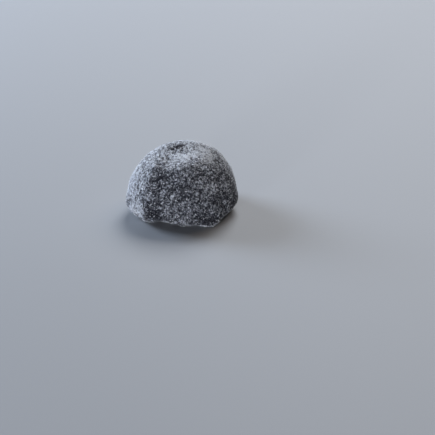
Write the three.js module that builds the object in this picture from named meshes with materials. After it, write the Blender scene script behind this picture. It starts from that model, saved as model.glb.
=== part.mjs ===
// Mochi ice cream, whole: a ball of ice cream wrapped by hand in a skin of pounded
// rice dough, set down soft so that it slumped into a low lumpy dome.
// It is one closed piece that rests on a flat, pinched-together underside.
// Millimetres and degrees, +Z up. The origin is on the resting face, under the
// middle of the footprint. The side that faces -Y is the front.

import * as THREE from 'three';
import { mergeVertices } from 'three/addons/utils/BufferGeometryUtils.js';

// ---- driving dimensions -------------------------------------------------------

const HEART_HEIGHT = 7.0; // the widest level, above the resting face
const HALF_BREADTH = 21.1; // from the heart out to the side
const CROWN_RISE = 20.7; // from the heart up to the crown
const UNDERSIDE_DEPTH = 9.2; // from the heart down to where an unsquashed ball would end
const DOME_FULLNESS = 2.08; // 2 is an ellipse, more is squarer
const UNDERSIDE_FULLNESS = 2.2;
const FOOT_ROUNDING = 1.6; // how far the skin rolls over where it meets the plate

const RIPPLE_RISE = 0.13; // slight unevenness of the dough all over
const RIPPLE_WAVES = [5.3, 6.1, 5.7]; // along X, Y and Z
const RIPPLE_SHIFTS = [0.6, 1.9, 0.3];

const MESH_DETAIL = 19; // each edge of the icosahedron is cut into one more than this
const SAME_CORNER = 1e-5; // corners nearer than this are one

const SKIN_COLOUR = 0x54525c;
const SKIN_ROUGHNESS = 0.85;

// ---- lumps and dents ----------------------------------------------------------
// Each is a soft swelling of the skin: the compass direction it faces (0 is +X,
// 270 the front), how high it looks up from the heart, its half width and half
// height as angles, and how far it rises. A dent rises by less than nothing. Some
// lie aslant: turn is how far their width is turned up from level.

const CROWN_LUMPS = [
  { name: 'right shoulder', facing: 20, lift: 46, wide: 30, tall: 20, rise: 0.5 },
  { name: 'left shoulder', facing: 160, lift: 46, wide: 30, tall: 20, rise: 0.3 },
  { name: 'back shoulder', facing: 80, lift: 40, wide: 40, tall: 22, rise: 0.65 },
  { name: 'back left crown', facing: 155, lift: 66, wide: 20, tall: 11, rise: 0.5 },
  { name: 'crown knob', facing: 65, lift: 74, wide: 12, tall: 9, rise: 0.45 },
  { name: 'crown dip', facing: 249, lift: 77, wide: 24, tall: 11, rise: -1.05, turn: 23 },
  { name: 'front brow', facing: 289, lift: 52, wide: 28, tall: 8.5, rise: 0.65, turn: -8 },
  { name: 'upper plateau', facing: 320, lift: 57, wide: 28, tall: 11, rise: 0.65, turn: 13 },
  { name: 'right shelf', facing: 339, lift: 44, wide: 15, tall: 9.5, rise: -0.55 },
  { name: 'left brow', facing: 219, lift: 44, wide: 7, tall: 20, rise: 0.5, turn: 9 },
  { name: 'front valley', facing: 246, lift: 50, wide: 11, tall: 24, rise: -0.75 },
  { name: 'back dent', facing: 118, lift: 34, wide: 16, tall: 11, rise: -0.5 },
  { name: 'back valley', facing: 62, lift: 38, wide: 9, tall: 16, rise: -0.6, turn: 12 },
];

const SIDE_LUMPS = [
  { name: 'right belly', facing: 352, lift: 8, wide: 28, tall: 22, rise: -0.55 },
  { name: 'left belly', facing: 185, lift: 8, wide: 28, tall: 22, rise: 1.05 },
  { name: 'left cheek', facing: 219, lift: 10, wide: 9, tall: 19, rise: 0.6, turn: 9 },
  { name: 'left ridge', facing: 225, lift: -7, wide: 6.5, tall: 14, rise: 1.1, turn: -17 },
  { name: 'left hollow', facing: 241, lift: -5, wide: 10.5, tall: 8.5, rise: -1.0 },
  { name: 'low hollow', facing: 259, lift: -1, wide: 10.5, tall: 8, rise: -0.7 },
  { name: 'front hollow', facing: 258, lift: 28, wide: 21, tall: 14, rise: -0.4 },
  { name: 'front swell', facing: 283, lift: 17, wide: 16, tall: 14, rise: 0.25 },
  { name: 'front right hollow', facing: 300, lift: -8, wide: 9.5, tall: 9.5, rise: -0.9 },
  { name: 'right fold', facing: 318, lift: 6, wide: 7.5, tall: 11, rise: -0.45 },
  { name: 'right cheek', facing: 337, lift: 19, wide: 12, tall: 12, rise: 0.3 },
  { name: 'back right ridge', facing: 36, lift: 24, wide: 7, tall: 20, rise: 0.55, turn: -8 },
  { name: 'back swell', facing: 60, lift: 14, wide: 20, tall: 14, rise: 0.5 },
  { name: 'back hollow', facing: 98, lift: -2, wide: 9, tall: 14, rise: -0.9 },
  { name: 'back left ridge', facing: 138, lift: 24, wide: 7, tall: 18, rise: 0.5, turn: 8 },
  { name: 'back left swell', facing: 140, lift: 8, wide: 16, tall: 14, rise: 0.4 },
];

// The pinched edge of the skin stands out round the foot in toes, with low arches
// between them where it was gathered in.
const FOOT_LUMPS = [
  { name: 'left flank', facing: 192, lift: -7, wide: 16, tall: 12, rise: 1.7 },
  { name: 'left toe', facing: 205, lift: -19, wide: 14, tall: 12, rise: 1.85 },
  { name: 'front left toe', facing: 218, lift: -21, wide: 9, tall: 10, rise: 0.9 },
  { name: 'front left arch', facing: 244, lift: -20, wide: 8, tall: 8, rise: -0.75 },
  { name: 'front toe', facing: 271, lift: -22, wide: 13, tall: 10, rise: 0.7 },
  { name: 'front arch', facing: 286, lift: -22, wide: 6, tall: 7, rise: -0.55 },
  { name: 'front right toe', facing: 304, lift: -19, wide: 17, tall: 13, rise: 2.35 },
  { name: 'front right corner', facing: 302, lift: -21, wide: 9, tall: 8, rise: 1.7 },
  { name: 'right front flank', facing: 326, lift: -16, wide: 16, tall: 14, rise: 0.9 },
  { name: 'right flank', facing: 350, lift: -12, wide: 16, tall: 14, rise: 1.4 },
  { name: 'back right toe', facing: 25, lift: -22, wide: 15, tall: 11, rise: 1.1 },
  { name: 'back right arch', facing: 47, lift: -23, wide: 8, tall: 9, rise: -0.8 },
  { name: 'back toe', facing: 72, lift: -22, wide: 16, tall: 11, rise: 1.0 },
  { name: 'back arch', facing: 97, lift: -23, wide: 7, tall: 8, rise: -0.7 },
  { name: 'back left toe', facing: 124, lift: -22, wide: 15, tall: 11, rise: 1.2 },
  { name: 'back left arch', facing: 150, lift: -23, wide: 8, tall: 9, rise: -0.8 },
];

// ---- the rule of the body -----------------------------------------------------

const radians = THREE.MathUtils.degToRad;

// A lump with the three axes it is measured along: out, along its width and along
// its height.
function settleLump(lump) {
  const facing = radians(lump.facing);
  const lift = radians(lump.lift);
  const turn = radians(lump.turn ?? 0);
  const level = Math.cos(lift);
  const out = new THREE.Vector3(level * Math.cos(facing), level * Math.sin(facing), Math.sin(lift));
  const round = new THREE.Vector3(-Math.sin(facing), Math.cos(facing), 0);
  const along = round.clone().applyAxisAngle(out, turn);
  const across = new THREE.Vector3().crossVectors(out, along);
  return { ...lump, out, along, across };
}

const LUMPS = [...CROWN_LUMPS, ...SIDE_LUMPS, ...FOOT_LUMPS].map(settleLump);

// How much a lump lifts the skin in one direction: full in its middle, fading all round.
function liftOf(lump, direction) {
  if (direction.dot(lump.out) <= 0) return 0;
  const aside = direction.dot(lump.along) / Math.sin(radians(lump.wide));
  const above = direction.dot(lump.across) / Math.sin(radians(lump.tall));
  return lump.rise * Math.exp(-aside * aside - above * above);
}

// The smooth ball before any lump: a full dome over a shallower underside.
function ballRadius(direction) {
  const onDome = direction.z >= 0;
  const fullness = onDome ? DOME_FULLNESS : UNDERSIDE_FULLNESS;
  const level = Math.hypot(direction.x, direction.y) / HALF_BREADTH;
  const upright = Math.abs(direction.z) / (onDome ? CROWN_RISE : UNDERSIDE_DEPTH);
  return (level ** fullness + upright ** fullness) ** (-1 / fullness);
}

function ripple(direction) {
  const along = direction.toArray();
  const waves = along.map((part, i) => Math.sin(RIPPLE_WAVES[i] * part + RIPPLE_SHIFTS[i]));
  return RIPPLE_RISE * (waves[0] + waves[1] + waves[2]);
}

// The lower of two radii, with the corner between them rolled over.
function rolledMinimum(skin, plate) {
  const overlap = Math.max(FOOT_ROUNDING - Math.abs(skin - plate), 0) / FOOT_ROUNDING;
  return Math.min(skin, plate) - (overlap * overlap * FOOT_ROUNDING) / 4;
}

// Where the skin is, seen from the heart along one direction.
function skinPoint(direction) {
  const swelling = LUMPS.reduce((sum, lump) => sum + liftOf(lump, direction), 0);
  const skin = ballRadius(direction) + swelling + ripple(direction);
  const plate = direction.z < 0 ? HEART_HEIGHT / -direction.z : Infinity;
  const point = direction.clone().multiplyScalar(rolledMinimum(skin, plate));
  point.z += HEART_HEIGHT;
  return point;
}

// ---- the mochi ----------------------------------------------------------------

// An even net of triangles over a sphere, each corner drawn out to the skin.
function mochiGeometry() {
  const net = new THREE.IcosahedronGeometry(1, MESH_DETAIL);
  net.deleteAttribute('normal');
  net.deleteAttribute('uv');
  const geometry = mergeVertices(net, SAME_CORNER);
  const corners = geometry.getAttribute('position');
  const direction = new THREE.Vector3();
  for (let i = 0; i < corners.count; i += 1) {
    direction.fromBufferAttribute(corners, i).normalize();
    const point = skinPoint(direction);
    corners.setXYZ(i, point.x, point.y, point.z);
  }
  geometry.computeBoundingBox();
  const { min, max } = geometry.boundingBox;
  geometry.translate(-(min.x + max.x) / 2, -(min.y + max.y) / 2, -min.z);
  geometry.computeVertexNormals();
  return geometry;
}

const skinMaterial = new THREE.MeshStandardMaterial({
  color: SKIN_COLOUR,
  roughness: SKIN_ROUGHNESS,
  metalness: 0,
});

const mochi = new THREE.Mesh(mochiGeometry(), skinMaterial);
mochi.name = 'mochi';

const group = new THREE.Group();
group.add(mochi);

export default group;
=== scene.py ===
import math

import bpy
import numpy as np
from mathutils import Matrix, Vector


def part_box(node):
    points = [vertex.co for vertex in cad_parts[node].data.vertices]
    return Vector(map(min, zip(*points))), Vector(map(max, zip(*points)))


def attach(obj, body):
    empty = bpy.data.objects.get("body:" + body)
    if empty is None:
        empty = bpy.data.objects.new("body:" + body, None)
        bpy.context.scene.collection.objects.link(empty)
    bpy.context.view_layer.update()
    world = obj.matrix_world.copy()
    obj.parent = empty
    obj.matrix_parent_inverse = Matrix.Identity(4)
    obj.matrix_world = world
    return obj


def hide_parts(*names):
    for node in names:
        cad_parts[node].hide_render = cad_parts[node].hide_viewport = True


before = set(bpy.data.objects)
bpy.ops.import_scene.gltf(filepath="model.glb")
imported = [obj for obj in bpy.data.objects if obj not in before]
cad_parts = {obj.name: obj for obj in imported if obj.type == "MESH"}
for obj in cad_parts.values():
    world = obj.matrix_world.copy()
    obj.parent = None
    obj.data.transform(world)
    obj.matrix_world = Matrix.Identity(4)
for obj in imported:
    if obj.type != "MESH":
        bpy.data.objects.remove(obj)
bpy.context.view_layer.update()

# ---- The wrapped ball ---------------------------------------------------------------
# A ball of ice cream wrapped by hand in a thin dark skin of pounded rice dough. It was
# set down soft, so it slumped to a low dome, and the gathered edge of the skin stands
# out round the foot in toes with low arches between.

MM = 0.001
HEART_HEIGHT = 7.0  # the widest level above the resting face; millimetres from here on
HALF_BREADTH = 21.1
CROWN_RISE = 20.7
UNDERSIDE_DEPTH = 9.2
DOME_FULLNESS = 2.08  # 2 is an ellipse, more is squarer
UNDERSIDE_FULLNESS = 2.2
FOOT_ROUNDING = 1.6
RIPPLE_RISE = 0.13
RIPPLE_WAVES = (5.3, 6.1, 5.7)
RIPPLE_SHIFTS = (0.6, 1.9, 0.3)
NET_CORNERS = 128  # corners along each side of the cube that the ball is blown from

# Each lump: its name, the way it faces (0 is +X, 270 the front), how high it looks up
# from the heart, its half width and half height in degrees, and its rise. Where there
# is one more number, it is how far the width is turned up from level.
CROWN_LUMPS = (
    ("right shoulder", 20, 46, 30, 20, 0.5),
    ("left shoulder", 160, 46, 30, 20, 0.3),
    ("back shoulder", 80, 40, 40, 22, 0.65),
    ("back left crown", 155, 66, 20, 11, 0.5),
    ("crown knob", 65, 74, 12, 9, 0.45),
    ("crown dip", 249, 77, 24, 11, -1.05, 23),
    ("front brow", 289, 52, 28, 8.5, 0.65, -8),
    ("upper plateau", 320, 57, 28, 11, 0.65, 13),
    ("right shelf", 339, 44, 15, 9.5, -0.55),
    ("left brow", 219, 44, 7, 20, 0.5, 9),
    ("front valley", 246, 50, 11, 24, -0.75),
    ("back dent", 118, 34, 16, 11, -0.5),
    ("back valley", 62, 38, 9, 16, -0.6, 12),
)
SIDE_LUMPS = (
    ("right belly", 352, 8, 28, 22, -0.55),
    ("left belly", 185, 8, 28, 22, 1.05),
    ("left cheek", 219, 10, 9, 19, 0.6, 9),
    ("left ridge", 225, -7, 6.5, 14, 1.1, -17),
    ("left hollow", 241, -5, 10.5, 8.5, -1.0),
    ("low hollow", 259, -1, 10.5, 8, -0.7),
    ("front hollow", 258, 28, 21, 14, -0.4),
    ("front swell", 283, 17, 16, 14, 0.25),
    ("front right hollow", 300, -8, 9.5, 9.5, -0.9),
    ("right fold", 318, 6, 7.5, 11, -0.45),
    ("right cheek", 337, 19, 12, 12, 0.3),
    ("back right ridge", 36, 24, 7, 20, 0.55, -8),
    ("back swell", 60, 14, 20, 14, 0.5),
    ("back hollow", 98, -2, 9, 14, -0.9),
    ("back left ridge", 138, 24, 7, 18, 0.5, 8),
    ("back left swell", 140, 8, 16, 14, 0.4),
)
FOOT_LUMPS = (
    ("left flank", 192, -7, 16, 12, 1.7),
    ("left toe", 205, -19, 14, 12, 1.85),
    ("front left toe", 218, -21, 9, 10, 0.9),
    ("front left arch", 244, -20, 8, 8, -0.75),
    ("front toe", 271, -22, 13, 10, 0.7),
    ("front arch", 286, -22, 6, 7, -0.55),
    ("front right toe", 304, -19, 17, 13, 2.35),
    ("front right corner", 302, -21, 9, 8, 1.7),
    ("right front flank", 326, -16, 16, 14, 0.9),
    ("right flank", 350, -12, 16, 14, 1.4),
    ("back right toe", 25, -22, 15, 11, 1.1),
    ("back right arch", 47, -23, 8, 9, -0.8),
    ("back toe", 72, -22, 16, 11, 1.0),
    ("back arch", 97, -23, 7, 8, -0.7),
    ("back left toe", 124, -22, 15, 11, 1.2),
    ("back left arch", 150, -23, 8, 9, -0.8),
)


class Wire:
    """One output of a node tree. A sum written with wires lays out the nodes that work it out."""

    def __init__(self, bench, socket):
        self.bench = bench
        self.socket = socket

    def __add__(self, other):
        return self.bench.maths("ADD", self, other)

    def __radd__(self, other):
        return self.bench.maths("ADD", other, self)

    def __sub__(self, other):
        return self.bench.maths("SUBTRACT", self, other)

    def __rsub__(self, other):
        return self.bench.maths("SUBTRACT", other, self)

    def __mul__(self, other):
        return self.bench.maths("MULTIPLY", self, other)

    def __rmul__(self, other):
        return self.bench.maths("MULTIPLY", other, self)

    def __truediv__(self, other):
        return self.bench.maths("DIVIDE", self, other)

    def __rtruediv__(self, other):
        return self.bench.maths("DIVIDE", other, self)

    def __pow__(self, other):
        return self.bench.maths("POWER", self, other)

    def beside(self, name):
        """Another output of the same node."""
        return Wire(self.bench, self.socket.node.outputs[name])


class Bench:
    """A node tree on which the shape or the finish of a piece is laid out."""

    def __init__(self, tree):
        self.tree = tree
        tree.nodes.clear()

    def node(self, kind, settings=None, sockets=None, output=0):
        """Any node, by its type, its settings and the values or wires of its sockets."""
        made = self.tree.nodes.new(kind)
        for name, value in (settings or {}).items():
            setattr(made, name, value)
        for key, value in (sockets or {}).items():
            named = [s for s in made.inputs if s.enabled and s.name == key]
            socket = made.inputs[key] if isinstance(key, int) else named[0]
            if isinstance(value, Wire):
                self.tree.links.new(value.socket, socket)
            elif socket.type == "VECTOR" and not hasattr(value, "__len__"):
                socket.default_value = (value,) * 3
            else:
                socket.default_value = value
        shown = [s for s in made.outputs if s.enabled]
        if isinstance(output, str):
            shown, output = [s for s in shown if s.name == output], 0
        return Wire(self, shown[output]) if shown else None

    def maths(self, operation, *terms):
        """A Math node, or a Vector Math node where a term is a vector or a colour."""
        vector = any(
            isinstance(t, (tuple, Vector)) or isinstance(t, Wire) and t.socket.type in ("VECTOR", "RGBA")
            for t in terms
        )
        kind = "ShaderNodeVectorMath" if vector else "ShaderNodeMath"
        return self.node(kind, {"operation": operation}, dict(enumerate(terms)))

    def noise(self, place, across, detail=2.0, roughness=0.5, output=0):
        """Soft noise about a half, whose swells are about this far across."""
        sockets = {"Vector": place, "Scale": 1 / across, "Detail": detail, "Roughness": roughness}
        return self.node("ShaderNodeTexNoise", {"noise_dimensions": "3D"}, sockets, output)

    def ramp(self, value, low, high):
        """0 below low, 1 above high, and smooth between."""
        sockets = {"Value": value, "From Min": low, "From Max": high}
        return self.node("ShaderNodeMapRange", {"interpolation_type": "SMOOTHSTEP"}, sockets)

    def blend(self, share, first, second):
        """A colour between two, which may be plain colours or wires."""
        return self.node("ShaderNodeMix", {"data_type": "RGBA"}, {"Factor": share, "A": first, "B": second})

    def keep(self, geometry, name, value, kind="FLOAT", domain="POINT"):
        """The geometry with one more named attribute."""
        settings = {"data_type": kind, "domain": domain}
        sockets = {"Geometry": geometry, "Name": name, "Value": value}
        return self.node("GeometryNodeStoreNamedAttribute", settings, sockets)

    def kept(self, name):
        """A number that was kept under this name."""
        return self.node("GeometryNodeInputNamedAttribute", {"data_type": "FLOAT"}, {"Name": name})

    def make_real(self, geometry, material, end):
        """The last of a shape: real faces in their material, handed to the tree's end."""
        geometry = self.node("GeometryNodeRealizeInstances", None, {0: geometry})
        geometry = self.node("GeometryNodeSetMaterial", None, {"Geometry": geometry, "Material": material})
        self.tree.links.new(geometry.socket, end.inputs[0])

    def surface(self, sockets):
        """The last of a finish: the values or wires of its surface."""
        shader = self.node("ShaderNodeBsdfPrincipled", None, sockets)
        self.node("ShaderNodeOutputMaterial", None, {"Surface": shader})


def lump_axes(facing, lift, turn=0):
    """The three axes that a lump is measured along: out, along its width and along its height."""
    facing, lift, turn = math.radians(facing), math.radians(lift), math.radians(turn)
    level = math.cos(lift)
    out = Vector((level * math.cos(facing), level * math.sin(facing), math.sin(lift)))
    around = Vector((-math.sin(facing), math.cos(facing), 0))
    up = out.cross(around)
    return (
        out,
        around * math.cos(turn) + up * math.sin(turn),
        up * math.cos(turn) - around * math.sin(turn),
    )


def swell(bench, direction, lump):
    """How far one lump lifts the skin: all of its rise in the middle, fading all round."""
    _, facing, lift, wide, tall, rise, *turn = lump
    out, along, across = lump_axes(facing, lift, *turn)
    aside = bench.maths("DOT_PRODUCT", direction, along / math.sin(math.radians(wide)))
    above = bench.maths("DOT_PRODUCT", direction, across / math.sin(math.radians(tall)))
    near = bench.maths("GREATER_THAN", bench.maths("DOT_PRODUCT", direction, out), 0.0)
    return near * rise * bench.maths("EXPONENT", (aside * aside + above * above) * -1.0)


def swells(bench, direction, lumps):
    total = swell(bench, direction, lumps[0])
    for lump in lumps[1:]:
        total = total + swell(bench, direction, lump)
    return total


def shape_tree(name, inputs):
    """A Geometry Nodes tree with named inputs: its bench, a wire for each input, and its end."""
    tree = bpy.data.node_groups.new(name, "GeometryNodeTree")
    bench = Bench(tree)
    tree.interface.new_socket("Geometry", in_out="INPUT", socket_type="NodeSocketGeometry")
    tree.interface.new_socket("Geometry", in_out="OUTPUT", socket_type="NodeSocketGeometry")
    for label, value in inputs.items():
        kind = "NodeSocketInt" if isinstance(value, int) else "NodeSocketFloat"
        tree.interface.new_socket(label, in_out="INPUT", socket_type=kind)
    start = tree.nodes.new("NodeGroupInput")
    wires = {s.name: Wire(bench, s) for s in start.outputs if s.name}
    return bench, wires, tree.nodes.new("NodeGroupOutput")


def grow(name, mesh, tree, inputs):
    """A plain mesh object made by running a tree with these inputs on a mesh."""
    worker = bpy.data.objects.new(name + "_worker", mesh)
    bpy.context.scene.collection.objects.link(worker)
    modifier = worker.modifiers.new(name, "NODES")
    modifier.node_group = tree
    for item in tree.interface.items_tree:
        if item.in_out == "INPUT" and item.name in inputs:
            modifier[item.identifier] = inputs[item.name]
    evaluated = worker.evaluated_get(bpy.context.evaluated_depsgraph_get())
    grown = bpy.data.meshes.new_from_object(evaluated)
    worker.modifiers.remove(modifier)
    bpy.data.objects.remove(worker)
    grown.name = name
    piece = bpy.data.objects.new(name, grown)
    bpy.context.scene.collection.objects.link(piece)
    return piece


# Starch gathers in flecks: clusters, which are stronger in some parts than in others,
# and finer specks. A shift whose name ends in AT reads the noise somewhere else, so that
# one pattern doesn't repeat another.
CLUSTERS_ACROSS = 0.98
CLUSTER_DEPTH = 22.0
LEAST_CLUSTERING = 0.1
SPECKS_ACROSS = 0.44
SPECKS_AT = (7.0, 0.0, 0.0)
SPECK_DEPTH = 10.0
PARTS_ACROSS = 3.4
PARTS_AT = (0.0, 0.0, 29.0)
LAY_STEEPNESS = 3.0  # how soon thicker starch hides more of the skin


def starch_share(bench, thickness, spot):
    """The share of the skin that starch hides at a place in millimetres."""
    clusters = bench.noise(spot, CLUSTERS_ACROSS, detail=6.0, roughness=0.64) - 0.5
    specks = bench.noise(spot + SPECKS_AT, SPECKS_ACROSS, detail=3.0, roughness=0.6) - 0.5
    clustering = bench.noise(spot + PARTS_AT, PARTS_ACROSS, detail=1.0) + LEAST_CLUSTERING
    lay = (thickness - 1.0) * LAY_STEEPNESS + clusters * clustering * CLUSTER_DEPTH + specks * SPECK_DEPTH
    return bench.maths("MINIMUM", bench.maths("EXPONENT", lay), 1.0)


DOUGH = bpy.data.materials.new("dusted_dough")
DOUGH.use_nodes = True

# Narrow creases, pits and folds of the dough, by the same rule as the lumps.
CREASES = (
    ("crown crease", 184, 86.4, 11, 1.3, -0.35, -70),
    ("crown furrow", 204, 80.2, 7, 1.2, -0.3, 66),
    ("crown pit", 290, 86.5, 3.6, 2, -0.25, -20),
    ("crown fold", 151, 84.7, 7, 1.8, 0.2, -61),
    ("knob furrow", 47, 80.8, 4.5, 1.5, -0.3, 9),
    ("brow fold", 238, 71.5, 7, 1.6, 0.15, 20),
    ("brow furrow", 237, 69, 6, 1, -0.14, 20),
    ("upper left crumb", 211.5, 57.5, 3, 2, 0.35),
    ("first left pit", 217.5, 54, 2.6, 1.9, -0.6, 20),
    ("second left pit", 226.5, 54, 2.6, 1.7, -0.6, -10),
    ("lower left crumb", 221, 48, 3.2, 2.2, 0.35),
    ("left notch", 225.5, 44, 1.2, 2.4, -0.35),
    ("pinhole", 232.5, 61.8, 1.2, 1, -0.4),
    ("valley pit", 241, 47, 2.2, 2, -0.3),
    ("brow pit", 264, 47, 2.6, 2.2, -0.3),
    ("left crack", 214, 38.5, 4, 1.3, -0.3, 35),
    ("low left pit", 217, 22, 2, 2, -0.4),
    ("upper right furrow", 354, 61, 6.5, 1.8, -0.3, -58),
    ("front crack", 287, 25, 4, 0.9, -0.25),
    ("front seam", 277, 10, 6, 1.5, 0.2, 80),
    ("leaf fold", 256, -3.8, 4, 1.4, 0.4, -25),
    ("leaf furrow", 256, -0.5, 4.5, 2, -0.3, -15),
    ("right streak", 321, 2.6, 5, 0.9, 0.3, 15),
    ("first right nick", 339, 18, 2.5, 0.9, 0.25, 65),
    ("second right nick", 329, 13, 2.5, 0.9, 0.25, 60),
    ("third right nick", 333, 15, 2, 0.8, 0.2, 60),
    ("first back furrow", 95, 70, 8, 1.8, -0.35, 15),
    ("second back furrow", 120, 52, 7, 1.8, -0.3, -40),
    ("back pit", 80, 46, 2.6, 2.2, -0.45),
    ("back crack", 50, 30, 5, 1.2, -0.3, 70),
    ("back fold", 150, 40, 7, 1.6, 0.25, 60),
)

# Where the skin is wrinkled, and how much.
WRINKLED = (
    ("crown wrinkles", 262, 80, 34, 15, 0.5),
    ("left brow wrinkles", 222, 56, 16, 12, 0.5),
    ("back wrinkles", 110, 62, 26, 14, 0.5),
)

# Starch lies thick where a number is above nought and is rubbed thin where it is below. Many rows are
# partly painted light: whiter where light falls, and painted shade where it doesn't.
DUSTING_AND_PAINTED_LIGHT = (
    # The crown and left side rows whiten them partly as painted light, falling from above and the back
    # left.
    ("crown", 288, 69, 52, 16, 0.76),
    ("back crown", 80, 68, 60, 16, 0.88),
    ("left side", 190, 20, 22, 38, 0.41),
    ("far left side", 177, 22, 9, 34, 0.35),
    ("left of the crown", 168, 60, 24, 9, 0.35),
    ("back left", 128, 42, 26, 22, -0.4),
    ("left ridge", 216, -4, 7, 20, 0.34),
    ("left toe", 210, -8, 14, 9, 0.5),
    # The pit, crease, furrow and valley rows rub the starch thin partly as painted shade, where shade falls
    # in them.
    ("left pits", 222, 54, 6.5, 3.2, -0.6),
    ("left crumbs", 216, 53, 9, 6, 0.25),
    ("crown crease", 184, 86.4, 12, 1.8, -0.65, -70),
    ("crown pit", 290, 86, 4, 1.8, -0.3, -20),
    ("crown furrow", 204, 80.2, 8, 1.2, -0.5, 66),
    ("brow pit", 264, 47, 4, 3, -0.3),
    ("front valley", 235, 41, 13, 10, -0.52),
    ("upper right", 353, 49, 11, 9, -0.42),
    ("front", 256, 17, 15, 12, 0.16),
    ("right front", 298, 30, 24, 14, 0.17),
    # Painted shadow: the right edge is rubbed thin for the shadow that a ball beside it would cast.
    ("right edge painted shadow", 343, 8, 17, 20, -0.37),
    # The two hollow rows darken them partly as painted shade, where they face away from the light.
    ("left hollow", 236, -4, 8, 11, -0.65),
    ("front right hollow", 291, -5, 8, 13, -0.3),
    # The low front row whitens the foot partly as painted light, as the lip does in the shape tree.
    ("low front", 268, -8, 12, 9, 0.08),
    ("right streak", 321, 2.6, 5, 1, 0.6, 15),
    ("first right nick", 339, 18, 2.5, 0.9, 0.7, 65),
    ("second right nick", 329, 13, 2.5, 0.9, 0.7, 60),
)
THIN_DUST = 0.3  # the share of the skin that starch hides where nothing else is said

ball_inputs = {
    "Heart height": HEART_HEIGHT,
    "Half breadth": HALF_BREADTH,
    "Crown rise": CROWN_RISE,
    "Underside depth": UNDERSIDE_DEPTH,
    "Dome fullness": DOME_FULLNESS,
    "Underside fullness": UNDERSIDE_FULLNESS,
    "Foot rounding": FOOT_ROUNDING,
    "Corners": NET_CORNERS,
    "Ripple rise": RIPPLE_RISE,
    "Dough waves": 0.45,
    "Dimples": 0.36,
    "Grain": 0.38,
    "Pleats": 0.5,
    "Pore depth": 0.2,
    "Wrinkle depth": 0.12,
    "Lip rise": 0.4,
    "Lip height": 0.7,
    "Gathers": 0.5,
    "Patches of dust": 1.1,
    "Clouds of dust": 1.2,
    "Dust and painted light on relief": 0.3,
    "Dust lost and shade painted in pores": 0.5,
    "Dust lost and shade painted in wrinkles": 0.3,
}
bench, given, ball_end = shape_tree("wrapped_ball", ball_inputs)

sides = {"Vertices " + axis: given["Corners"] for axis in "XYZ"}
net = bench.node("GeometryNodeMeshCube", None, {"Size": 2.0, **sides})
on_cube = bench.node("GeometryNodeInputPosition")
direction = bench.maths("NORMALIZE", bench.maths("TANGENT", on_cube * (math.pi / 4)))
upright = bench.node("ShaderNodeSeparateXYZ", None, {0: direction}, "Z")
level = bench.maths("SQRT", bench.maths("MAXIMUM", 1.0 - upright * upright, 0.0))


def rounded(level, upright, fullness):
    """How far out a plain rounded form reaches, from the shares of its breadth and height."""
    return (level ** fullness + upright ** fullness) ** (-1.0 / fullness)


steep = bench.maths("ABSOLUTE", upright)
on_dome = bench.maths("GREATER_THAN", upright, 0.0)
breadthways = level / given["Half breadth"]
dome = rounded(breadthways, steep / given["Crown rise"], given["Dome fullness"])
under = rounded(breadthways, steep / given["Underside depth"], given["Underside fullness"])
ball = on_dome * dome + (1.0 - on_dome) * under

waves = bench.maths("SINE", direction * RIPPLE_WAVES + RIPPLE_SHIFTS)
ripple = bench.maths("DOT_PRODUCT", waves, (1.0, 1.0, 1.0)) * given["Ripple rise"]
form = ball + ripple + swells(bench, direction, CROWN_LUMPS + SIDE_LUMPS + FOOT_LUMPS)

# What fingers and the thin dough leave: broad waves, dimples, a fine grain, pores in
# groups, and pleats that run up from the gathered foot.
WAVES_ACROSS = 6.5
DIMPLES_ACROSS = 2.4
DIMPLES_AT = (31.0, 0.0, 0.0)
GRAIN_ACROSS = 1.0
GRAIN_AT = (0.0, 47.0, 0.0)
PORES_APART = 1.9
PORE_BOTTOM, PORE_RIM = 0.08, 0.24  # from its middle, as shares of the way to the next
PORE_GROUPS_ACROSS = 5.0
FEW_PORES, MANY_PORES = 0.5, 0.62
PLEATS_ACROSS = 2.6
PLEAT_DRAW = (1.0, 1.0, 0.22)  # what the pattern is squeezed by, which draws it out upwards
PLEAT_TOP, PLEAT_FULL = 0.12, -0.3  # how far a direction looks up where pleats end and are deepest

on_ball = direction * given["Half breadth"]
broad = bench.noise(on_ball, WAVES_ACROSS, detail=1.0) - 0.5
dimples = bench.noise(on_ball + DIMPLES_AT, DIMPLES_ACROSS) - 0.5
grain = bench.noise(on_ball + GRAIN_AT, GRAIN_ACROSS, detail=1.0) - 0.5
near_foot = bench.ramp(upright, PLEAT_TOP, PLEAT_FULL)
pleats = (bench.noise(on_ball * PLEAT_DRAW, PLEATS_ACROSS, detail=1.0) - 0.5) * near_foot
pore_sockets = {"Vector": on_ball, "Scale": 1 / PORES_APART}
from_pore = bench.node("ShaderNodeTexVoronoi", None, pore_sockets, "Distance")
pore_groups = bench.ramp(bench.noise(on_ball, PORE_GROUPS_ACROSS, detail=1.0), FEW_PORES, MANY_PORES)
pores = (1.0 - bench.ramp(from_pore, PORE_BOTTOM, PORE_RIM)) * pore_groups

# Where the skin was drawn together it lies in fine wrinkles, deepest on the crown.
WRINKLES_APART = 3.4
WRINKLE_DRAW = (0.45, 1.0, 1.0)
WRINKLE_WANDER = (3.0, 3.0, 3.0)
WRINKLE_BREADTH = 0.05
LEAST_WRINKLED = 0.15

stretched = on_ball * WRINKLE_DRAW + broad * WRINKLE_WANDER
from_fold = bench.maths("ABSOLUTE", bench.noise(stretched, WRINKLES_APART) - 0.5)
wrinkled = swells(bench, direction, WRINKLED) + LEAST_WRINKLED
wrinkles = (1.0 - bench.ramp(from_fold, 0.0, WRINKLE_BREADTH)) * wrinkled
relief = (
    broad * given["Dough waves"] + dimples * given["Dimples"] + grain * given["Grain"]
    + pleats * given["Pleats"] - pores * given["Pore depth"] - wrinkles * given["Wrinkle depth"]
    + swells(bench, direction, CREASES)
)
skin = form + relief

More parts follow.
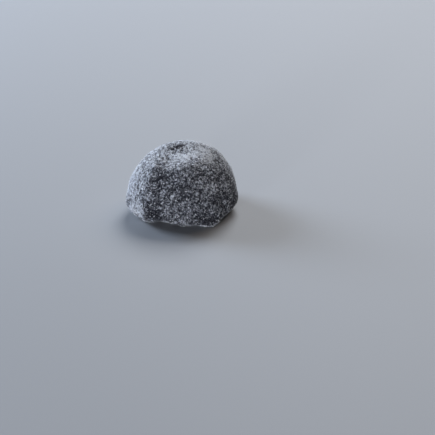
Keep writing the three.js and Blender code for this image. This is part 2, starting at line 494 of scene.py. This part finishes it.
# The cut edge of the skin shows round the foot as a thin lip, which comes and goes.
LIP_THICKNESS = 0.6  # half of it, as a share of how high it lies
LIP_STRETCHES_ACROSS = 7.0
LIP_DRAW = (1.0, 1.0, 0.1)
NO_LIP, FULL_LIP = 0.35, 0.55

low = (given["Heart height"] + skin * upright - given["Lip height"]) / (LIP_THICKNESS * given["Lip height"])
lip_stretches = bench.noise(on_ball * LIP_DRAW, LIP_STRETCHES_ACROSS, detail=1.0)
lip = bench.maths("EXPONENT", low * low * -1.0) * bench.ramp(lip_stretches, NO_LIP, FULL_LIP)
skin = skin + lip * given["Lip rise"]

# The level of the plate cuts the ball below, with the corner between them rolled over.
# Directions above the level never reach the plate.
NEARLY_LEVEL = 0.02
FAR_OFF = 1000.0

below = bench.maths("MAXIMUM", upright * -1.0, NEARLY_LEVEL)
plate = given["Heart height"] / below + on_dome * FAR_OFF
apart = bench.maths("ABSOLUTE", skin - plate)
overlap = bench.maths("MAXIMUM", given["Foot rounding"] - apart, 0.0)
reach = bench.maths("MINIMUM", skin, plate) - overlap * overlap / (given["Foot rounding"] * 4.0)

# Underneath, the skin is gathered towards the middle in shallow grooves.
GROOVES_ROUND = 11.0
GROOVE_BENDS_ACROSS = 5.0
GROOVE_WANDER = 9.0
GROOVE_START, GROOVE_FULL = 0.6, 3.5  # how far the uncut ball would reach below the plate

parts = bench.node("ShaderNodeSeparateXYZ", None, {0: direction})
bearing = bench.maths("ARCTAN2", parts.beside("Y"), parts.beside("X"))
bends = bench.noise(on_ball, GROOVE_BENDS_ACROSS) * GROOVE_WANDER
gather_waves = bench.maths("SINE", bearing * GROOVES_ROUND + bends)
grooves = bench.maths("MAXIMUM", gather_waves, 0.0) ** 2.0
inside = bench.ramp(skin - plate, GROOVE_START, GROOVE_FULL)
raised = grooves * inside * given["Gathers"]
heart = bench.node("ShaderNodeCombineXYZ", None, {"Z": given["Heart height"] + raised})
place = (direction * reach + heart) * MM

# Starch lies in patches and clouds of its own, clings to what stands out, and is missing from pores and
# wrinkles. The clinging and the missing are partly painted light: lighter on what stands out, and painted
# shade in the dimples, pores and wrinkles.
PATCHES_ACROSS = 4.2
PATCHES_AT = (0.0, 0.0, 61.0)
CLOUDS_ACROSS = 1.6
CLOUDS_AT = (17.0, 0.0, 61.0)

dusting_and_painted_light = swells(bench, direction, DUSTING_AND_PAINTED_LIGHT) + THIN_DUST
patches = bench.noise(on_ball + PATCHES_AT, PATCHES_ACROSS) - 0.5
clouds = bench.noise(on_ball + CLOUDS_AT, CLOUDS_ACROSS) - 0.5
starch = dusting_and_painted_light + patches * given["Patches of dust"] + clouds * given["Clouds of dust"]
# Adding the lip to the starch is painted light: a pale line of light caught under the edge of the foot.
starch = starch + dimples * given["Dust and painted light on relief"] + grain * given["Dust and painted light on relief"] + lip
starch = starch - pores * given["Dust lost and shade painted in pores"] - wrinkles * given["Dust lost and shade painted in wrinkles"]

net = bench.keep(net, "starch", starch)
net = bench.keep(net, "direction", direction, "FLOAT_VECTOR")
net = bench.node("GeometryNodeSetPosition", None, {"Geometry": net, "Position": place})
net = bench.node("GeometryNodeSetShadeSmooth", None, {0: net})
bench.make_real(net, DOUGH, ball_end)

ball_piece = grow("mochi_skin", bpy.data.meshes.new("net"), bench.tree, ball_inputs)
skin_mesh = ball_piece.data

solid_low, solid_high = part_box("mochi")
corners = np.empty(len(skin_mesh.vertices) * 3, np.float32)
skin_mesh.vertices.foreach_get("co", corners)
corners = corners.reshape(-1, 3)
middle = (corners.min(0) + corners.max(0)) / 2
centring = (solid_low + solid_high) / 2 - Vector(middle.tolist())
skin_mesh.transform(Matrix.Translation((centring.x, centring.y, 0)))


def map_sides(mesh):
    """A UV map that lays the six sides of the cube that the ball was blown from in two rows."""
    ways = np.empty(len(mesh.vertices) * 3, np.float32)
    mesh.attributes["direction"].data.foreach_get("vector", ways)
    ways = ways.reshape(-1, 3)
    corner_of = np.empty(len(mesh.loops), np.int32)
    mesh.loops.foreach_get("vertex_index", corner_of)
    ways = ways[corner_of].reshape(-1, 4, 3)
    middles = ways.mean(1)
    main = np.abs(middles).argmax(1)
    each = np.arange(len(main))
    first, second = (main + 1) % 3, (main + 2) % 3
    deep = np.abs(ways[each, :, main])
    across = np.arctan2(ways[each, :, first], deep) / (math.pi / 4)
    upward = np.arctan2(ways[each, :, second], deep) / (math.pi / 4)
    row = (middles[each, main] > 0).astype(np.float32)[:, None]
    margin = 0.985
    u = (main[:, None] + 0.5 + across * margin / 2) / 3
    v = (row + 0.5 + upward * margin / 2) / 2
    layer = mesh.uv_layers.new(name="OFBake")
    layer.data.foreach_set("uv", np.stack([u, v], -1).astype(np.float32).ravel())


map_sides(skin_mesh)

# The finish: near black dough, and on it a film of the finest starch, too fine for
# grains of its own. It is greyer where it lies thin.
DOUGH_COLOURS = (0.007, 0.007, 0.011, 1), (0.018, 0.016, 0.023, 1)
DOUGH_CLOUDS_ACROSS = 3.0
FILM_COLOURS = (0.56, 0.59, 0.67, 1), (0.88, 0.91, 0.96, 1)
FILM_CLOUDS_ACROSS = 0.7
FILM_CLOUDS_AT = (0.0, 0.0, 13.0)
FILM_GREY, FILM_WHITE = 0.46, 0.72
THICK_WHITENS = 0.16
LEAST_FILM = 0.01  # the share that is still dusted where it looks bare, and bare where dusted
STIPPLE_ACROSS = 0.15
STIPPLE_AT = (0.0, 9.0, 0.0)
STIPPLE_DEPTH = 2.2
SKIN_ROUGHNESS = 0.55
STARCH_ROUGHNESS = 0.9
FILM_THICKNESS = 0.00022  # metres
FILM_HEAP, STIPPLE_HEAP = 0.6, 0.5  # how much of that thickness each makes
DUST_SHEEN_TINT = (0.86, 0.9, 1.0, 1)

finish = Bench(DOUGH.node_tree)
spot = finish.node("ShaderNodeTexCoord", None, None, "Object") * (1 / MM)
# The kept starch number holds painted light and shade as well as real starch, so the film's cover and
# whiteness carry both.
thickness = finish.node("ShaderNodeAttribute", {"attribute_name": "starch"}, None, "Fac")
stipple = finish.noise(spot + STIPPLE_AT, STIPPLE_ACROSS, detail=3.0, roughness=0.6) - 0.5
cover = starch_share(finish, thickness + stipple * STIPPLE_DEPTH, spot)
dough_colour = finish.blend(finish.noise(spot, DOUGH_CLOUDS_ACROSS), *DOUGH_COLOURS)
film_clouds = finish.noise(spot + FILM_CLOUDS_AT, FILM_CLOUDS_ACROSS)
whiter = finish.ramp(film_clouds + thickness * THICK_WHITENS, FILM_GREY, FILM_WHITE)
film_colour = finish.blend(whiter, *FILM_COLOURS)
hidden = cover * (1 - 2 * LEAST_FILM) + LEAST_FILM
heap = cover * FILM_HEAP + stipple * STIPPLE_HEAP
bump_sockets = {"Strength": 1.0, "Distance": FILM_THICKNESS, "Height": heap}
finish.surface({
    "Base Color": finish.blend(hidden, dough_colour, film_colour),
    "Roughness": SKIN_ROUGHNESS + cover * (STARCH_ROUGHNESS - SKIN_ROUGHNESS),
    "Normal": finish.node("ShaderNodeBump", None, bump_sockets),
    "Sheen Weight": 0.3,
    "Sheen Roughness": 0.15,
    "Sheen Tint": DUST_SHEEN_TINT,
    "Specular IOR Level": 0.15,
})

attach(ball_piece, "root")
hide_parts("mochi")

# ---- Grains of starch ---------------------------------------------------------------
# Dry starch, sprinkled on so that the skin doesn't stick: loose grains that lie more
# than half sunk in the soft dough, and clumps of them, thickest where the film is.

STARCH = bpy.data.materials.new("dry_starch")
STARCH.use_nodes = True

# Each kind: its name, grains for each square millimetre where they lie thickest, their
# smallest and largest size in millimetres, the share of its size that lies sunk, how
# finely each is faceted, and the seed that scatters them.
GRAIN_KINDS = (
    ("starch_powder", 4.2, 0.09, 0.2, 0.64, 1, 1),
    ("starch_grains", 3.2, 0.22, 0.48, 0.64, 1, 2),
    ("starch_clumps", 0.7, 0.4, 0.7, 0.66, 2, 3),
)
LEAST_HEIGHT = 0.5  # below it the skin lies too near the plate for a grain
STRAY_GRAINS = 0.1  # the share of the crowd that lies where the film is missing
FILM_GRAINS = 0.8  # and the share more that lies where the film is whole
TO_SQUARE_METRES = 1e6
GRAIN_COLOURS = (0.68, 0.71, 0.78, 1), (0.94, 0.96, 0.99, 1)


def grain_inputs(crowding, smallest, largest, sunk, facets, seed):
    return {
        "Grains": crowding,
        "Smallest": smallest,
        "Largest": largest,
        "Sunk": sunk,
        "Facets": facets,
        "Seed": seed,
        "Least height": LEAST_HEIGHT,
    }


bench, given, grain_end = shape_tree("sprinkled_starch", grain_inputs(*GRAIN_KINDS[0][1:]))
on_skin = bench.node("GeometryNodeInputPosition")
height = bench.node("ShaderNodeSeparateXYZ", None, {0: on_skin}, "Z")
clear = bench.maths("GREATER_THAN", height, given["Least height"] * MM)
# Grains crowd by the same number, so they also follow its painted light and shade.
film = starch_share(bench, bench.kept("starch"), on_skin / MM)
crowd = (film * FILM_GRAINS + STRAY_GRAINS) * clear * given["Grains"] * TO_SQUARE_METRES
points = bench.node(
    "GeometryNodeDistributePointsOnFaces",
    {"distribute_method": "RANDOM"},
    {"Mesh": given["Geometry"], "Density": crowd, "Seed": given["Seed"]},
)
outward = points.beside("Normal")


def drawn(seed, low, high, kind="FLOAT"):
    """A number or vector drawn anew for each grain."""
    sockets = {"Min": low, "Max": high, "Seed": given["Seed"] + seed}
    return bench.node("FunctionNodeRandomValue", {"data_type": kind}, sockets)


MORE_SMALL = 1.6  # above 1, small grains outnumber large ones

size = given["Smallest"] + (given["Largest"] - given["Smallest"]) * drawn(10, 0.0, 1.0) ** MORE_SMALL
points = bench.keep(points, "size", size * MM)
points = bench.keep(points, "tone", drawn(20, 0.0, 1.0))
size = bench.kept("size")
tone = bench.kept("tone")
sinking = outward * (size * (0.5 - given["Sunk"]))
points = bench.node("GeometryNodeSetPosition", None, {"Geometry": points, "Offset": sinking})
ball = bench.node("GeometryNodeMeshIcoSphere", None, {"Radius": 0.5, "Subdivisions": given["Facets"]})
turned = drawn(30, (0.0, 0.0, 0.0), (math.tau, math.tau, math.tau), "FLOAT_VECTOR")
squashed = drawn(40, (0.7, 0.7, 0.7), (1.2, 1.2, 1.2), "FLOAT_VECTOR")
grains = bench.node(
    "GeometryNodeInstanceOnPoints",
    None,
    {"Points": points, "Instance": ball, "Rotation": turned, "Scale": squashed * size},
)
grains = bench.node("GeometryNodeRealizeInstances", None, {0: grains})

# Each ball is pushed out of round by the noise where it lies.
KNOBS_TO_A_GRAIN = 1.8
KNOB_RISE = 1.1

on_grain = bench.node("GeometryNodeInputPosition")
knobs = bench.noise(on_grain / size * KNOBS_TO_A_GRAIN, 1.0, output="Color") - (0.5, 0.5, 0.5)
knob_push = knobs * size * KNOB_RISE
grains = bench.node("GeometryNodeSetPosition", None, {"Geometry": grains, "Offset": knob_push})
grains = bench.node("GeometryNodeSetShadeSmooth", None, {0: grains})

# Each grain has its own small patch of the UV map, placed by its tone.
MAP_MARGIN = 0.05
MAP_BREADTH = 1 - 2 * MAP_MARGIN
PATCH_BREADTH = 0.004
ROW_SCATTER = 61.7

across_map = tone * MAP_BREADTH + MAP_MARGIN
up_map = bench.maths("FRACT", tone * ROW_SCATTER) * MAP_BREADTH + MAP_MARGIN
patch = bench.node("ShaderNodeCombineXYZ", None, {"X": across_map, "Y": up_map})
patch = patch + bench.node("GeometryNodeInputNormal") * PATCH_BREADTH
grains = bench.keep(grains, "OFBake", patch, "FLOAT2", "CORNER")
bench.make_real(grains, STARCH, grain_end)

WHITE_FROM = 0.6  # how far across the map grains are wholly white

finish = Bench(STARCH.node_tree)
map_place = finish.node("ShaderNodeUVMap", {"uv_map": "OFBake"})
shade = finish.node("ShaderNodeSeparateXYZ", None, {0: map_place}, "X")
finish.surface({
    "Base Color": finish.blend(finish.ramp(shade, 0.0, WHITE_FROM), *GRAIN_COLOURS),
    "Roughness": STARCH_ROUGHNESS,
    "Specular IOR Level": 0.25,
    "Sheen Weight": 0.2,
    "Sheen Roughness": 0.5,
    "Sheen Tint": DUST_SHEEN_TINT,
})

for name, *sizes in GRAIN_KINDS:
    grain_piece = grow(name, skin_mesh, bench.tree, grain_inputs(*sizes))
    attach(grain_piece, "root")

# ---- Floor, light and camera --------------------------------------------------------
# A plain pale floor under soft lamps: two strong ones behind, to the left and above, a
# weak warm one at the right, a low one in front, and a faint sky all round.

FLOOR_HALF = 2.0
FLOOR_COLOUR = (0.42, 0.43, 0.445, 1)
FLOOR_ROUGHNESS = 0.6

floor_mesh = bpy.data.meshes.new("floor")
floor_corners = [(x * FLOOR_HALF, y * FLOOR_HALF, 0) for x, y in ((-1, -1), (1, -1), (1, 1), (-1, 1))]
floor_mesh.from_pydata(floor_corners, [], [(0, 1, 2, 3)])
floor = bpy.data.objects.new("floor", floor_mesh)
bpy.context.scene.collection.objects.link(floor)
paint = bpy.data.materials.new("pale_floor")
paint.use_nodes = True
Bench(paint.node_tree).surface({"Base Color": FLOOR_COLOUR, "Roughness": FLOOR_ROUGHNESS})
floor_mesh.materials.append(paint)

# Each lamp: its name, which way it stands and how high, in degrees as for a lump, how
# many metres across it is, its watts and its colour. All look at the middle of the mochi.
LAMPS = (
    ("back", 145, 24, 0.45, 9.1, (0.69, 0.81, 1.0)),
    ("high back", 72, 45, 0.45, 6.4, (0.90, 0.94, 1.0)),
    ("right", 36, 45, 0.45, 1.6, (1.0, 0.86, 0.74)),
    ("front", 243, 4.5, 0.16, 3.9, (0.88, 0.91, 1.0)),
)
LAMP_AWAY = 1.0
MIDDLE = Vector((0, 0, 0.012))

for name, facing, lift, across, watts, colour in LAMPS:
    lamp = bpy.data.lights.new(name, "AREA")
    lamp.size = across
    lamp.energy = watts
    lamp.color = colour
    light = bpy.data.objects.new(name, lamp)
    out, _, _ = lump_axes(facing, lift)
    light.location = out * LAMP_AWAY + MIDDLE
    light.rotation_euler = out.to_track_quat("Z", "Y").to_euler()
    bpy.context.scene.collection.objects.link(light)

SKY_COLOUR = (0.93, 0.96, 1.0, 1)
SKY_STRENGTH = 0.02

world = bpy.data.worlds.new("sky")
world.use_nodes = True
world.node_tree.nodes["Background"].inputs["Color"].default_value = SKY_COLOUR
world.node_tree.nodes["Background"].inputs["Strength"].default_value = SKY_STRENGTH
bpy.context.scene.world = world
bpy.context.scene.view_settings.view_transform = "Standard"

FRAME_PIXELS = 435
FRAME_ACROSS = 0.17618  # what the frame takes in at the mochi, in metres
CAMERA_AWAY = 0.6
LOOK_DOWN = math.radians(25.8)
ROLL = math.radians(1.7)
ORIGIN_PIXEL = (182.8, 208.8)  # where the middle of the resting face falls in the frame

back = Vector((0, -math.cos(LOOK_DOWN), math.sin(LOOK_DOWN)))
turn = Matrix.Rotation(-ROLL, 3, back)
right = turn @ Vector((1, 0, 0))
up = back.cross(right)
pixel = FRAME_ACROSS / FRAME_PIXELS
aside = (ORIGIN_PIXEL[0] - FRAME_PIXELS / 2) * pixel
above = (FRAME_PIXELS / 2 - ORIGIN_PIXEL[1]) * pixel
camera_data = bpy.data.cameras.new("camera")
camera_data.angle = 2 * math.atan(FRAME_ACROSS / 2 / CAMERA_AWAY)
camera_data.clip_start = 0.01
camera = bpy.data.objects.new("camera", camera_data)
camera.matrix_world = Matrix.Translation(back * CAMERA_AWAY - right * aside - up * above) @ Matrix(
    (right, up, back)
).transposed().to_4x4()
bpy.context.scene.collection.objects.link(camera)
bpy.context.scene.camera = camera
